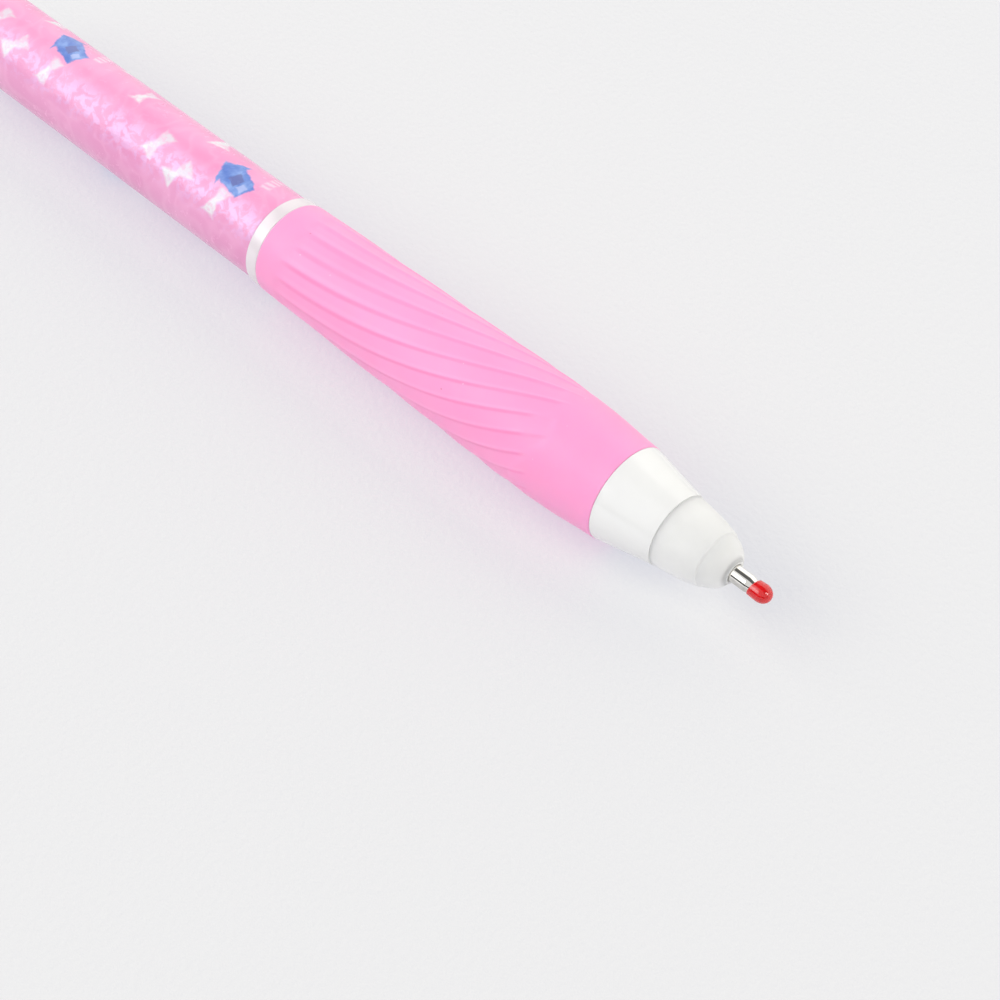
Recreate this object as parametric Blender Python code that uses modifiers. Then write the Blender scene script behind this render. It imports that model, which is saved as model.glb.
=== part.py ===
"""Retractable gel pen with a ribbed rubber grip, lying on its side.

The pen's axis runs along X with the writing tip at +X. It rests on the fattest part of its grip
and on one edge of its clip, so the ground is z = 0. The writing tip is out, and a little resin
ball still protects it. Stations along the pen are measured from the front edge of the grip,
positive towards the tip.
"""

import math

import bmesh
import bpy
from mathutils import Matrix, Vector

MM = 0.001

# The rest position: the axis lies this high, and the origin is below the middle of the pen.
AXIS_HEIGHT = 7.263
MIDDLE_STATION = -55.45
AXIS_SIDEWAYS = -0.6
CLIP_ANGLE = math.radians(-38.4)

# Stations and radii of the outside, in millimetres.
TIP_END = 22.3
NOSE_END = 16.9
CONE_END = 8.0
CONE_END_R = 4.9
CONE_START_R = 6.3
GRIP_LENGTH = 58.9
GRIP_RADII = (6.5, 7.069, 7.263, 7.16, 7.02, 6.916, 6.793, 6.685, 6.477)
RING_WIDTH = 2.0
RING_R = 6.43
BARREL_R = 6.195
BARREL_END = -121.0
COLLAR_END = -128.2
COLLAR_R = 6.05
BUTTON_START = -119.5
BUTTON_END = -133.2
BUTTON_R = 3.6

# The grip's ribs run straight at the back and wind round the pen towards the front.
RIB_COUNT = 17
RIB_DEPTH = 0.16
RIB_START = -55.5
RIB_PHASE = 118.0
RIB_TWIST = 0.242
RIB_TWIST_GROWTH = 0.042

# Inside.
SLEEVE_R = 4.9
SPIGOT_R = 4.45
SPIGOT_END = -69.2
BORE_R = 4.6
NIB_R = 1.12
BALL_R = 0.25
TUBE_R = 3.0
TUBE_BORE_R = 1.87
TUBE_START = -0.3
TUBE_END = -88.0
HOLDER_R = 1.75
HOLDER_SHOULDER = 4.2
SPRING_R = 2.35
SPRING_WIRE_R = 0.2
SPRING_TURNS = 8
GUIDE_START = -95.6
GUIDE_END = -118.0
SLOT_R = 4.05
LAND_R = 3.1
CAM_R = 2.9
CAM_RIB_R = 3.9
TOOTH_HEIGHT = 0.8
TEETH = 8

# Clip, measured out from the pen's axis.
CLIP_FACE = 9.3
CLIP_PIVOT = 7.8
CLIP_PIVOT_STATION = BARREL_END - 4.0
CLIP_HALF_WIDTH = 1.9
CLIP_TONGUE_HALF_WIDTH = 1.2
CLIP_PIN_R = 0.5
CLIP_TOE = -91.4

FINE = 40
COARSE = 24

PALETTE = {
    "resin_red": ((0.72, 0.01, 0.015), 0.08, 0.0),
    "steel": ((0.62, 0.61, 0.58), 0.18, 1.0),
    "carbide": ((0.35, 0.35, 0.36), 0.15, 1.0),
    "frosted_plastic": ((0.88, 0.88, 0.86), 0.45, 0.0),
    "white_plastic": ((0.93, 0.93, 0.93), 0.18, 0.0),
    "pink_rubber": ((1.0, 0.42, 0.68), 0.55, 0.0),
    "pink_barrel": ((0.95, 0.48, 0.68), 0.15, 0.0),
    "pearl_print": ((0.98, 0.45, 0.66), 0.16, 0.0),
    "clear_plastic": ((0.90, 0.92, 0.93), 0.12, 0.0),
    "natural_plastic": ((0.86, 0.86, 0.83), 0.40, 0.0),
    "gel_ink": ((0.01, 0.01, 0.015), 0.25, 0.0),
    "grease": ((0.80, 0.76, 0.55), 0.30, 0.0),
    "spring_steel": ((0.55, 0.55, 0.56), 0.25, 1.0),
}


def clear_scene():
    for obj in list(bpy.data.objects):
        bpy.data.objects.remove(obj, do_unlink=True)


def collection(name):
    group = bpy.data.collections.new(name)
    bpy.context.scene.collection.children.link(group)
    return group


def material(name):
    found = bpy.data.materials.get(name)
    if found:
        return found
    color, roughness, metallic = PALETTE[name]
    made = bpy.data.materials.new(name)
    made.use_nodes = True
    shader = made.node_tree.nodes["Principled BSDF"]
    shader.inputs["Base Color"].default_value = (*color, 1.0)
    shader.inputs["Roughness"].default_value = roughness
    shader.inputs["Metallic"].default_value = metallic
    made.diffuse_color = (*color, 1.0)
    return made


clear_scene()
PEN = collection("gel_pen")
CUTTERS = collection("cutters")


def add(name, mesh, look, group=None):
    """A named object of this mesh, on the pen's axis, with its local Z along the pen."""
    obj = bpy.data.objects.new(name, mesh)
    (group or PEN).objects.link(obj)
    if look:
        mesh.materials.append(material(look))
    obj.rotation_euler = (0.0, math.pi / 2, 0.0)
    return obj


def place(obj, parent, station=0.0):
    obj.parent = parent
    obj.location = (station * MM, 0.0, 0.0)
    return obj


def apply_modifiers(obj):
    """The object's mesh becomes its evaluated mesh, with its faces shaded smooth up to sharp edges."""
    depsgraph = bpy.context.evaluated_depsgraph_get()
    mesh = bpy.data.meshes.new_from_object(obj.evaluated_get(depsgraph))
    mesh.name = obj.name
    old = obj.data
    obj.modifiers.clear()
    obj.data = mesh
    bpy.data.meshes.remove(old)
    mesh.shade_smooth()
    mesh.set_sharp_from_angle(angle=math.radians(32))
    return obj


def turned(name, profile, look, parent, station=0.0, steps=COARSE, hollow=True, group=None):
    """A body turned round the pen's axis. The profile lists (station, radius) down the outer side,
    from the tip end to the button end. A hollow one closes up its inner side, and a blind bore
    comes first."""
    mesh = bpy.data.meshes.new(name)
    points = [(radius * MM, 0.0, (x - station) * MM) for x, radius in profile]
    edges = [(i, i + 1) for i in range(len(points) - 1)]
    if hollow:
        edges.append((len(points) - 1, 0))
    mesh.from_pydata(points, edges, [])
    obj = add(name, mesh, look, group)
    screw = obj.modifiers.new("turn", "SCREW")
    screw.axis = "Z"
    screw.steps = steps
    screw.render_steps = steps
    screw.use_merge_vertices = True
    screw.merge_threshold = 0.000002
    apply_modifiers(obj)
    return place(obj, parent, station)


def blocks(name, boxes, group=None, look=None):
    """Separate boxes in one mesh. Each is ((x0, x1), (r0, r1), half width, angle): a radial block."""
    bm = bmesh.new()
    for (x0, x1), (r0, r1), half, angle in boxes:
        made = bmesh.ops.create_cube(bm, size=1.0)
        size = Matrix.Diagonal(((x1 - x0) * MM, (r1 - r0) * MM, 2 * half * MM, 1.0))
        middle = Matrix.Translation(((x0 + x1) / 2 * MM, (r0 + r1) / 2 * MM, 0.0))
        turn = Matrix.Rotation(angle, 4, "X")
        bmesh.ops.transform(bm, matrix=turn @ middle @ size, verts=made["verts"])
    mesh = bpy.data.meshes.new(name)
    bm.to_mesh(mesh)
    bm.free()
    obj = bpy.data.objects.new(name, mesh)
    (group or CUTTERS).objects.link(obj)
    if look:
        mesh.materials.append(material(look))
    return obj


def combine(obj, other, operation):
    """Joins or cuts with another object and applies it. The other object is used up."""
    bpy.context.view_layer.update()
    other.hide_render = True
    other.display_type = "WIRE"
    boolean = obj.modifiers.new(operation.lower(), "BOOLEAN")
    boolean.operation = operation
    boolean.object = other
    boolean.solver = "EXACT"
    apply_modifiers(obj)
    used = other.data
    bpy.data.objects.remove(other, do_unlink=True)
    if used.users == 0:
        bpy.data.meshes.remove(used)
    return obj


def crown(obj, station, direction):
    """Raises a ring of teeth on the flat end of a turned body at this station."""
    mesh = obj.data
    level = station * MM - obj.location.x
    for vertex in mesh.vertices:
        if abs(vertex.co.z - level) > 1e-6:
            continue
        turn = math.atan2(vertex.co.y, vertex.co.x) / (2 * math.pi) * TEETH
        share = abs((turn % 1.0) - 0.5) * 2.0
        vertex.co.z += direction * TOOTH_HEIGHT * share * MM
    mesh.update()


def empty(name, location, parent=None, rotation=(0.0, 0.0, 0.0)):
    obj = bpy.data.objects.new(name, None)
    PEN.objects.link(obj)
    obj.empty_display_size = 0.005
    obj.parent = parent
    obj.location = [value * MM for value in location]
    obj.rotation_euler = rotation
    return obj


root = empty("pen_axis", (-MIDDLE_STATION, AXIS_SIDEWAYS, AXIS_HEIGHT))
button_slide = empty("button_slide", (0.0, 0.0, 0.0), root)
refill_slide = empty("refill_slide", (0.0, 0.0, 0.0), root)
cam_turn = empty("cam_turn", (0.0, 0.0, 0.0), refill_slide)
ring_slide = empty("ring_slide", (0.0, 0.0, 0.0), root)
front_turn = empty("front_turn", (0.0, 0.0, 0.0), ring_slide)
seal_slide = empty("seal_slide", (0.0, 0.0, 0.0), refill_slide)


# ---- refill: tip, ink and spring -------------------------------------------------------------

def cone_radius(x):
    """Radius of the nib's long cone."""
    return NIB_R - (x - 18.6) * 0.26


turned(
    "tip_seal",
    [
        (TIP_END, 0.0), (22.24, 0.34), (22.06, 0.64), (21.75, 0.91), (21.3, 1.12), (20.8, 1.2),
        (20.3, 1.17), (19.95, 1.09), (19.75, 1.0), (19.75, cone_radius(19.75) + 0.08),
        (21.0, cone_radius(21.0) + 0.08), (21.36, 0.42), (21.62, 0.3), (21.62, 0.0),
    ],
    "resin_red", seal_slide, 20.0, hollow=False,
)

ball_mesh = bpy.data.meshes.new("writing_ball")
ball = bmesh.new()
bmesh.ops.create_uvsphere(ball, u_segments=20, v_segments=12, radius=BALL_R * MM)
ball.to_mesh(ball_mesh)
ball.free()
ball_mesh.shade_smooth()
place(add("writing_ball", ball_mesh, "carbide"), refill_slide, 21.2)

turned(
    "nib",
    [
        (21.29, 0.33), (21.0, cone_radius(21.0)), (18.6, NIB_R), (9.65, NIB_R), (9.5, 1.0),
        (9.5, 0.75), (17.8, 0.75), (18.4, 0.2), (20.85, 0.2), (20.9, 0.29), (21.29, 0.28),
    ],
    "steel", refill_slide, 15.0,
)

turned(
    "nib_holder",
    [
        (12.5, 1.3), (12.2, HOLDER_R), (HOLDER_SHOULDER, HOLDER_R), (HOLDER_SHOULDER, 2.8),
        (4.0, 2.95), (0.0, 2.95), (0.0, HOLDER_R), (-4.8, HOLDER_R), (-5.0, 1.6),
        (-5.0, 0.6), (9.2, 0.6), (9.2, NIB_R + 0.05), (12.5, NIB_R + 0.05),
    ],
    "natural_plastic", refill_slide, 4.0,
)

turned(
    "ink_tube",
    [
        (TUBE_START, 2.9), (-0.5, TUBE_R), (TUBE_END + 0.2, TUBE_R), (TUBE_END, 2.9),
        (TUBE_END, TUBE_BORE_R), (TUBE_START, TUBE_BORE_R),
    ],
    "clear_plastic", refill_slide, -44.0,
)

turned(
    "gel_ink",
    [(-5.3, 0.0), (-5.3, 1.77), (-70.0, 1.77), (-69.4, 1.2), (-69.2, 0.0)],
    "gel_ink", refill_slide, -40.0, hollow=False,
)

turned(
    "follower_grease",
    [(-69.6, 0.0), (-69.8, 1.1), (-70.4, 1.77), (-76.2, 1.77), (-75.6, 1.1), (-75.4, 0.0)],
    "grease", refill_slide, -73.0, hollow=False,
)

turned(
    "tail_plug",
    [
        (-84.0, 1.5), (-84.3, 1.75), (-88.3, 1.75), (-88.3, 2.9), (-90.8, 2.9), (-91.0, 2.7),
        (-91.0, 0.4), (-84.0, 0.4),
    ],
    "natural_plastic", refill_slide, -88.0,
)


def spring_points(start, end, turns, per_turn):
    """Points of a compression coil whose first and last turns lie flat."""
    points = []
    total = (turns + 2) * per_turn
    flat_rise = 2.6 * SPRING_WIRE_R
    for i in range(total + 1):
        turn = i / per_turn
        if turn < 1.0:
            rise = flat_rise * turn
        elif turn > turns + 1.0:
            rise = (end - start) - flat_rise * (turns + 2.0 - turn)
        else:
            rise = flat_rise + (end - start - 2 * flat_rise) * (turn - 1.0) / turns
        angle = 2 * math.pi * turn
        points.append((
            SPRING_R * MM * math.cos(angle),
            SPRING_R * MM * math.sin(angle),
            (start + rise) * MM,
        ))
    return points


def coil(name, points, wire, look, parent):
    curve = bpy.data.curves.new(name + "_path", "CURVE")
    curve.dimensions = "3D"
    curve.bevel_depth = wire * MM
    curve.bevel_resolution = 2
    curve.use_fill_caps = True
    spline = curve.splines.new("POLY")
    spline.points.add(len(points) - 1)
    for point, place_at in zip(spline.points, points):
        point.co = (*place_at, 1.0)
    source = bpy.data.objects.new(name + "_path", curve)
    PEN.objects.link(source)
    depsgraph = bpy.context.evaluated_depsgraph_get()
    mesh = bpy.data.meshes.new_from_object(source.evaluated_get(depsgraph))
    mesh.name = name
    bm = bmesh.new()
    bm.from_mesh(mesh)
    bmesh.ops.remove_doubles(bm, verts=bm.verts, dist=0.000002)
    bmesh.ops.recalc_face_normals(bm, faces=bm.faces)
    bm.to_mesh(mesh)
    bm.free()
    bpy.data.objects.remove(source, do_unlink=True)
    bpy.data.curves.remove(curve)
    mesh.shade_smooth()
    mesh.set_sharp_from_angle(angle=math.radians(40))
    return place(add(name, mesh, look), parent)


coil(
    "return_spring",
    spring_points(HOLDER_SHOULDER + 0.35, 14.05, SPRING_TURNS - 2, 10),
    SPRING_WIRE_R, "spring_steel", refill_slide,
)


# ---- front section: nose, cone, grip and spacer ring -------------------------------------------

turned(
    "nose_tip",
    [
        (NOSE_END, 1.65), (16.82, 2.0), (16.4, 2.65), (15.5, 3.22), (14.0, 3.82), (12.0, 4.26),
        (10.0, 4.52), (8.1, 4.66), (8.1, 3.5), (5.5, 3.5), (5.5, 2.8), (14.4, 2.8), (15.3, 1.4),
        (16.75, 1.4),
    ],
    "frosted_plastic", front_turn, 8.0, FINE,
)

turned(
    "nose_cone",
    [
        (CONE_END, 4.72), (7.88, CONE_END_R), (4.0, 5.66), (0.1, CONE_START_R), (0.0, 6.25),
        (0.0, SLEEVE_R), (-GRIP_LENGTH - RING_WIDTH, SLEEVE_R),
        (-GRIP_LENGTH - RING_WIDTH, SPIGOT_R), (SPIGOT_END + 0.4, SPIGOT_R), (SPIGOT_END, 4.1),
        (SPIGOT_END, 3.4), (5.3, 3.4), (5.3, 3.6), (CONE_END, 3.6),
    ],
    "white_plastic", front_turn, 0.0, FINE,
)


def smooth_radius(x):
    """Outer radius of the grip at a station, a smooth curve through its stated radii."""
    step = GRIP_LENGTH / (len(GRIP_RADII) - 1)
    place_in = min(max(-x / step, 0.0), len(GRIP_RADII) - 1.000001)
    i = int(place_in)
    t = place_in - i
    last = len(GRIP_RADII) - 1
    before, a, b, after = (GRIP_RADII[min(max(k, 0), last)] for k in (i - 1, i, i + 1, i + 2))
    slope_a = (b - before) / 2.0
    slope_b = (after - a) / 2.0
    return (
        (2 * t**3 - 3 * t**2 + 1) * a + (t**3 - 2 * t**2 + t) * slope_a
        + (-2 * t**3 + 3 * t**2) * b + (t**3 - t**2) * slope_b
    )


def rib_end(angle):
    """Where the ribs stop at the front: a line that waves three times round the pen."""
    return -10.4 + 1.5 * math.cos(3.0 * math.radians(angle - 125.0))


def rib_dip(x, angle):
    """How far the grip's surface lies below its full radius: a saw tooth round the pen."""
    along = max(x - RIB_START, 0.0)
    twist = RIB_TWIST * along + RIB_TWIST_GROWTH * along**2
    share = ((angle + twist - RIB_PHASE) / 360.0 * RIB_COUNT) % 1.0
    fade = min(max((x - RIB_START) / 1.0, 0.0), 1.0) * min(max((rib_end(angle) - x) / 1.0, 0.0), 1.0)
    tooth = 1.0 - share if share > 0.15 else share / 0.15 * 0.85
    return RIB_DEPTH * fade * tooth


def ribbed_grip():
    """The grip: outer rings that follow the ribs, end faces, and a plain bore."""
    around = RIB_COUNT * 3
    front, back = -0.1, -GRIP_LENGTH + 0.05
    stations = [front, -0.6, -4.5, -8.5, -10.0, -12.0]
    stations += [-12.0 - 3.55 * i for i in range(1, 13)] + [RIB_START - 0.2, -58.3, back]
    bm = bmesh.new()
    rings = []
    for x in stations:
        edge = 0.25 if x in (front, back) else 0.0
        ring = []
        for i in range(around):
            angle = 360.0 * i / around
            radius = smooth_radius(x) - edge - rib_dip(x, angle)
            a = math.radians(angle)
            ring.append(bm.verts.new((x * MM, radius * MM * math.cos(a), radius * MM * math.sin(a))))
        rings.append(ring)
    for x in (back, front):
        ring = []
        for i in range(around):
            a = 2 * math.pi * i / around
            inner = (SLEEVE_R + 0.1) * MM
            ring.append(bm.verts.new((x * MM, inner * math.cos(a), inner * math.sin(a))))
        rings.append(ring)
    for k, ring in enumerate(rings):
        following = rings[(k + 1) % len(rings)]
        for i in range(around):
            j = (i + 1) % around
            bm.faces.new((ring[i], ring[j], following[j], following[i]))
    bmesh.ops.recalc_face_normals(bm, faces=bm.faces)
    mesh = bpy.data.meshes.new("grip")
    bm.to_mesh(mesh)
    bm.free()
    mesh.materials.append(material("pink_rubber"))
    mesh.shade_smooth()
    mesh.set_sharp_from_angle(angle=math.radians(40))
    obj = bpy.data.objects.new("grip", mesh)
    PEN.objects.link(obj)
    obj.parent = front_turn
    return obj


ribbed_grip()

ring_front = -GRIP_LENGTH - 0.05
ring_back = -GRIP_LENGTH - RING_WIDTH + 0.05
turned(
    "spacer_ring",
    [
        (ring_front, 6.3), (ring_front - 0.15, RING_R), (ring_back + 0.15, RING_R),
        (ring_back, 6.3), (ring_back, SLEEVE_R + 0.1), (ring_front, SLEEVE_R + 0.1),
    ],
    "white_plastic", ring_slide, -59.9, FINE,
)


# ---- barrel ------------------------------------------------------------------------------------

barrel_front = -GRIP_LENGTH - RING_WIDTH - 0.15
turned(
    "barrel_tube",
    [
        (barrel_front, 5.9), (BARREL_END, 5.9), (BARREL_END, BORE_R), (barrel_front, BORE_R),
    ],
    "pink_barrel", root, -90.0, FINE,
)

turned(
    "printed_sleeve",
    [
        (barrel_front - 0.05, 6.1), (barrel_front - 0.15, BARREL_R), (BARREL_END + 0.1, BARREL_R),
        (BARREL_END, 6.1), (BARREL_END, 5.95), (barrel_front - 0.05, 5.95),
    ],
    "pearl_print", root, -90.0, FINE,
)

guide = turned(
    "cam_guide",
    [
        (GUIDE_START, 4.35), (GUIDE_START - 0.15, 4.5), (GUIDE_END + 0.15, 4.5), (GUIDE_END, 4.35),
        (GUIDE_END, LAND_R), (GUIDE_START, LAND_R),
    ],
    "natural_plastic", root, -103.0,
)
slots = blocks("slots", [
    ((GUIDE_END - 1.0, GUIDE_START + 1.0), (2.5, SLOT_R), 0.7, k * math.pi / 2) for k in range(4)
])
slots.parent = root
combine(guide, slots, "DIFFERENCE")

collar = turned(
    "end_collar",
    [
        (GUIDE_END - 0.3, 4.3), (GUIDE_END - 0.5, 4.5), (BARREL_END - 0.2, 4.5),
        (BARREL_END - 0.2, 5.85), (BARREL_END - 0.4, COLLAR_R), (COLLAR_END + 1.5, COLLAR_R - 0.1),
        (COLLAR_END + 0.4, 5.65), (COLLAR_END, 5.3), (COLLAR_END, BUTTON_R + 0.35),
        (COLLAR_END + 0.2, BUTTON_R + 0.2), (GUIDE_END - 0.3, BUTTON_R + 0.2),
    ],
    "white_plastic", root, -125.0, FINE,
)
lugs = blocks("lugs", [((BARREL_END - 6.6, BARREL_END - 1.6), (5.0, 8.7), 2.3, CLIP_ANGLE)])
lugs.parent = root
combine(collar, lugs, "UNION")
gap = blocks("gap", [
    ((BARREL_END - 8.6, BARREL_END + 1.0), (COLLAR_R + 0.05, 10.0), 1.35, CLIP_ANGLE),
])
gap.parent = root
combine(collar, gap, "DIFFERENCE")


def cross_rod(name, radius, half_length, group):
    """A rod through the clip's pivot, square to the pen's axis."""
    bm = bmesh.new()
    bmesh.ops.create_cone(
        bm, cap_ends=True, cap_tris=False, segments=24,
        radius1=radius * MM, radius2=radius * MM, depth=2 * half_length * MM,
    )
    move = Matrix.Translation((CLIP_PIVOT_STATION * MM, CLIP_PIVOT * MM, 0.0))
    bmesh.ops.transform(bm, matrix=Matrix.Rotation(CLIP_ANGLE, 4, "X") @ move, verts=bm.verts)
    mesh = bpy.data.meshes.new(name)
    bm.to_mesh(mesh)
    bm.free()
    obj = bpy.data.objects.new(name, mesh)
    group.objects.link(obj)
    obj.parent = root
    return obj


combine(collar, cross_rod("pin_hole", CLIP_PIN_R + 0.05, 4.0, CUTTERS), "DIFFERENCE")

pin = cross_rod("clip_pin", CLIP_PIN_R, 2.4, PEN)
pin.data.materials.append(material("steel"))
pin.data.shade_smooth()
pin.data.set_sharp_from_angle(angle=math.radians(32))


# ---- clip ------------------------------------------------------------------------------------

def slab(name, outline, half_width, group, look=None):
    """A flat outline of (station, distance from the pen's axis) points, thickened both ways."""
    curve = bpy.data.curves.new(name, "CURVE")
    curve.dimensions = "2D"
    curve.fill_mode = "BOTH"
    curve.extrude = half_width * MM
    spline = curve.splines.new("POLY")
    spline.points.add(len(outline) - 1)
    for point, (x, out) in zip(spline.points, outline):
        point.co = ((x - CLIP_PIVOT_STATION) * MM, (out - CLIP_PIVOT) * MM, 0.0, 1.0)
    spline.use_cyclic_u = True
    source = bpy.data.objects.new(name + "_outline", curve)
    group.objects.link(source)
    depsgraph = bpy.context.evaluated_depsgraph_get()
    mesh = bpy.data.meshes.new_from_object(source.evaluated_get(depsgraph))
    mesh.name = name
    bpy.data.objects.remove(source, do_unlink=True)
    bpy.data.curves.remove(curve)
    bm = bmesh.new()
    bm.from_mesh(mesh)
    bmesh.ops.remove_doubles(bm, verts=bm.verts, dist=0.000002)
    bmesh.ops.recalc_face_normals(bm, faces=bm.faces)
    bm.to_mesh(mesh)
    bm.free()
    if look:
        mesh.materials.append(material(look))
    obj = bpy.data.objects.new(name, mesh)
    group.objects.link(obj)
    return obj


def arc(x, out, radius, start, end, count):
    """Points on an arc in the clip's side view, angles in degrees."""
    angles = [math.radians(start + (end - start) * i / (count - 1)) for i in range(count)]
    return [(x + radius * math.cos(a), out + radius * math.sin(a)) for a in angles]


clip_hinge = empty(
    "clip_hinge",
    (
        CLIP_PIVOT_STATION,
        CLIP_PIVOT * math.cos(CLIP_ANGLE),
        CLIP_PIVOT * math.sin(CLIP_ANGLE),
    ),
    root, (CLIP_ANGLE, 0.0, 0.0),
)

arm_outline = arc(CLIP_TOE, 8.0, 1.6, 220, 320, 7)
arm_outline += arc(CLIP_TOE + 1.8, 8.4, 0.9, -30, 90, 6)
arm_outline += [
    (BARREL_END - 0.2, CLIP_FACE), (BARREL_END - 0.9, 9.0), (BARREL_END - 0.9, 8.0),
    (CLIP_TOE - 2.6, 8.0),
]
clip = slab("clip", arm_outline, CLIP_HALF_WIDTH, PEN, "white_plastic")
clip.parent = clip_hinge

tongue_outline = arc(CLIP_PIVOT_STATION, CLIP_PIVOT, 1.3, 90, 270, 11)
tongue_outline += [(BARREL_END - 1.6, 6.6), (BARREL_END + 0.8, 8.2), (BARREL_END + 1.4, 9.1)]
tongue = slab("tongue", tongue_outline, CLIP_TONGUE_HALF_WIDTH, CUTTERS)
tongue.parent = clip_hinge
combine(clip, tongue, "UNION")
combine(clip, cross_rod("clip_hole", CLIP_PIN_R + 0.08, 4.0, CUTTERS), "DIFFERENCE")
round_over = clip.modifiers.new("soft edges", "BEVEL")
round_over.width = 0.18 * MM
round_over.segments = 1
round_over.limit_method = "ANGLE"
round_over.angle_limit = math.radians(50)
apply_modifiers(clip)


# ---- button, plunger and cam -------------------------------------------------------------------

turned(
    "push_button",
    [
        (BUTTON_END + 0.8, 0.0), (BUTTON_END + 0.8, 2.3), (BUTTON_START, 2.3),
        (BUTTON_START, BUTTON_R - 0.15), (BUTTON_START - 0.2, BUTTON_R), (BUTTON_END + 1.3, BUTTON_R),
        (BUTTON_END + 0.6, 3.4), (BUTTON_END + 0.15, 2.95), (BUTTON_END, 2.5), (BUTTON_END, 0.0),
    ],
    "white_plastic", button_slide, -126.0, FINE, hollow=False,
)

plunger = turned(
    "plunger",
    [
        (-106.0, 0.0), (-106.0, 1.55), (-98.9, 1.55), (-98.9, CAM_R), (-105.0, CAM_R),
        (-105.6, 2.2), (BUTTON_END + 1.2, 2.2), (BUTTON_END + 1.0, 2.0), (BUTTON_END + 1.0, 0.0),
    ],
    "natural_plastic", button_slide, -110.0, hollow=False,
)
crown(plunger, -98.9, 1.0)
plunger_ribs = blocks("plunger_ribs", [
    ((-104.4, -100.4), (2.2, CAM_RIB_R), 0.5, k * math.pi / 2) for k in range(4)
])
plunger_ribs.parent = root
combine(plunger, plunger_ribs, "UNION")

cam = turned(
    "rotor_cam",
    [
        (-91.3, 0.0), (-91.3, 2.6), (-91.5, CAM_R), (-97.0, CAM_R), (-97.0, 1.35),
        (-102.3, 1.35), (-102.5, 1.15), (-102.5, 0.0),
    ],
    "clear_plastic", cam_turn, -95.0, hollow=False,
)
crown(cam, -97.0, 1.0)
cam_ribs = blocks("cam_ribs", [
    ((-95.3, -92.3), (2.2, CAM_RIB_R), 0.5, k * math.pi / 2) for k in range(4)
])
cam_ribs.parent = root
combine(cam, cam_ribs, "UNION")
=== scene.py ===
"""Looks of the retractable gel pen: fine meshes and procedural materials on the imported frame.

Every turned piece is built about the pen's axis: its local X runs along the pen, zero at the front
edge of the grip and positive towards the tip, and its angles are measured about X from +Y to +Z.
Lengths in the piece tables are millimetres.
"""

import math

import bmesh
import bpy
from mathutils import Matrix, Vector


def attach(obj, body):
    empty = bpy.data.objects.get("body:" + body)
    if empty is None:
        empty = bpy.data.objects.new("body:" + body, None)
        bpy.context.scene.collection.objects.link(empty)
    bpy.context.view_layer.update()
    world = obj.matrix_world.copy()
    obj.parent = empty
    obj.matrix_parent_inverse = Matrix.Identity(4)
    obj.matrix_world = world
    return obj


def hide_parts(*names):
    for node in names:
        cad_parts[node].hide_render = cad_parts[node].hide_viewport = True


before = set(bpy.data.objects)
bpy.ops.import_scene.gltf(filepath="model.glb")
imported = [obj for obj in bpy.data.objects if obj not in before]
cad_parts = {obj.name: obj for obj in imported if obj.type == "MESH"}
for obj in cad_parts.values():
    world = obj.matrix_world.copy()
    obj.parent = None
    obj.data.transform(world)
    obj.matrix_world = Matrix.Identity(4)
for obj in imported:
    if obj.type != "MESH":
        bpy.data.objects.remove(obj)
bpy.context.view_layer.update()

MM = 0.001
AXIS = Vector((55.45, -0.6, 7.263)) * MM
FACING = 120.0  # the side of the pen, in degrees, that the materials count their turn from

GRIP_LENGTH = 58.9
GRIP_RADII = (6.5, 7.069, 7.263, 7.16, 7.02, 6.916, 6.793, 6.685, 6.477)
GRIP_BORE = 5.0
RING_WIDTH = 2.0
RING_R = 6.43
BARREL_R = 6.195
FILM_BORE = 5.95
TUBE_R = 5.9
BARREL_FRONT = -61.0
BARREL_END = -121.0
COLLAR_END = -128.2
COLLAR_R = 6.05
BUTTON_START = -119.5
BUTTON_END = -133.2
CLIP_TOE = -91.4

NIB_R = 1.12
BALL_R = 0.25
BALL_AT = 21.2
SEAL_FRONT = 22.3
SEAL_LENGTH = 2.46
SEAL_CAP = 1.35
SEAL_WIDEST = 20.95
SEAL_R = 1.2
REFILL_R = 3.0
REFILL_BORE = 1.87
REFILL_FRONT = -0.3
REFILL_END = -88.0
INK_R = 1.77
INK_FRONT = -5.3
INK_END = -70.0
GREASE_FRONT = -69.6
GREASE_END = -76.2

RIB_COUNT = 17
RIB_DEPTH = 0.14
RIB_START = -55.5
RIB_PHASE = 118.0
RIB_TWIST = 0.242
RIB_TWIST_GROWTH = 0.042
DROP_BACK = 0.30
DROP_FRONT = 0.16
DROP_CHANGE = (-50.0, -25.0)
RIBS_STOP = -10.4
STOP_WAVE = 1.5
STOP_WAVES = 3.0
STOP_PHASE = 125.0

SPIGOT_R = 4.45
SPIGOT_END = -69.2
THREAD_PITCH = 1.5
THREAD_DEPTH = 0.28
TO_CLIP = Matrix.Rotation(math.radians(-38.4), 4, "X")
CLIP_PIVOT = Vector((BARREL_END - 4.0, 7.8))
CLIP_UNDERSIDE = 8.0


# ---- shader building -------------------------------------------------------------------------

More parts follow.
